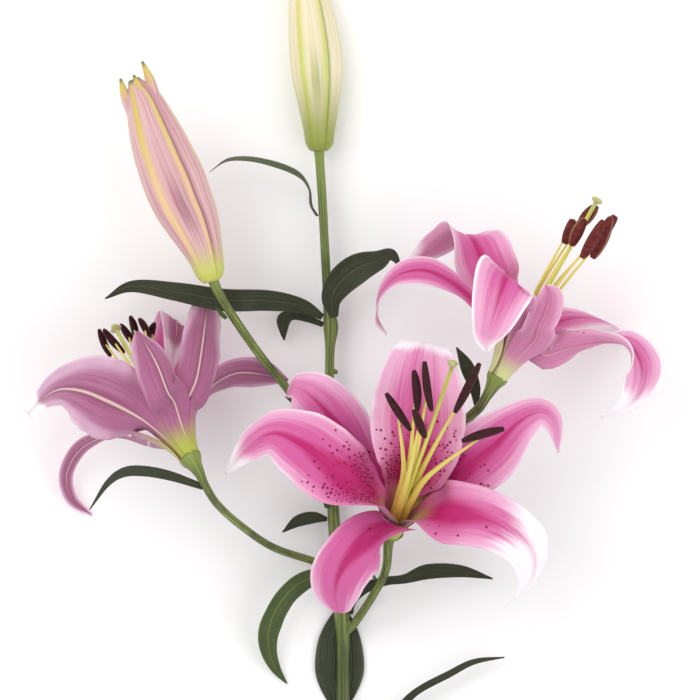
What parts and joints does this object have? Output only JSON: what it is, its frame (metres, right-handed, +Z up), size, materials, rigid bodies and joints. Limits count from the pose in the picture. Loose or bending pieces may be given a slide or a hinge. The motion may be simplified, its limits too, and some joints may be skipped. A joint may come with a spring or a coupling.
{
  "type": "cut lily",
  "caption": "Cut stem of a pink lily lying down, with open blooms of recurved ruffled tepals, dark anthers, closed buds and long narrow leaves",
  "frame": {"origin": "centre of the small flat spot under the stem, near its cut end, on which the stem rests", "axes": "+Y up the stem towards the top bud, +X to the stem's right as seen from above, +Z up from the surface it lies on"},
  "size_m": [0.3603, 0.5129, 0.1431],
  "materials": {
    "stem_green": "satin",
    "leaf_green": "satin",
    "tepal_pink": "matte",
    "bud_cream": "matte",
    "bud_pink": "matte",
    "anther_brown": "matte",
    "style_green": "satin"
  },
  "bodies": {
    "root": {"stem": "stem_green", "front_pistil": "style_green", "front_stamens": "anther_brown", "front_tepal_left": "tepal_pink", "front_tepal_left_high": "tepal_pink", "front_tepal_low": "tepal_pink", "front_tepal_right_high": "tepal_pink", "front_tepal_right_low": "tepal_pink", "front_tepal_top": "tepal_pink", "left_pistil": "style_green", "left_stamens": "anther_brown", "left_tepal_far": "tepal_pink", "left_tepal_low": "tepal_pink", "left_tepal_near": "tepal_pink", "left_tepal_right": "tepal_pink", "left_tepal_upright": "tepal_pink", "left_tepal_wide": "tepal_pink", "right_pistil": "style_green", "right_stamens": "anther_brown", "right_tepal_left": "tepal_pink", "right_tepal_long": "tepal_pink", "right_tepal_near": "tepal_pink", "right_tepal_side": "tepal_pink", "right_tepal_under": "tepal_pink", "right_tepal_upper": "tepal_pink", "bract_bud": "leaf_green", "bract_bud_root": "leaf_green", "bract_front_pedicel": "leaf_green", "bract_mid": "leaf_green", "bud_left": "bud_pink", "bud_top": "bud_cream", "leaf_front_pedicel": "leaf_green", "leaf_left_bloom": "leaf_green", "leaf_low_right": "leaf_green", "leaf_lower_left": "leaf_green", "leaf_mid_left": "leaf_green", "leaf_right_bloom": "leaf_green", "leaf_top": "leaf_green", "leaf_under_stem": "leaf_green", "leaf_whorl_left": "leaf_green", "leaf_whorl_right": "leaf_green", "leaf_whorl_small": "leaf_green"}
  },
  "joints": []
}
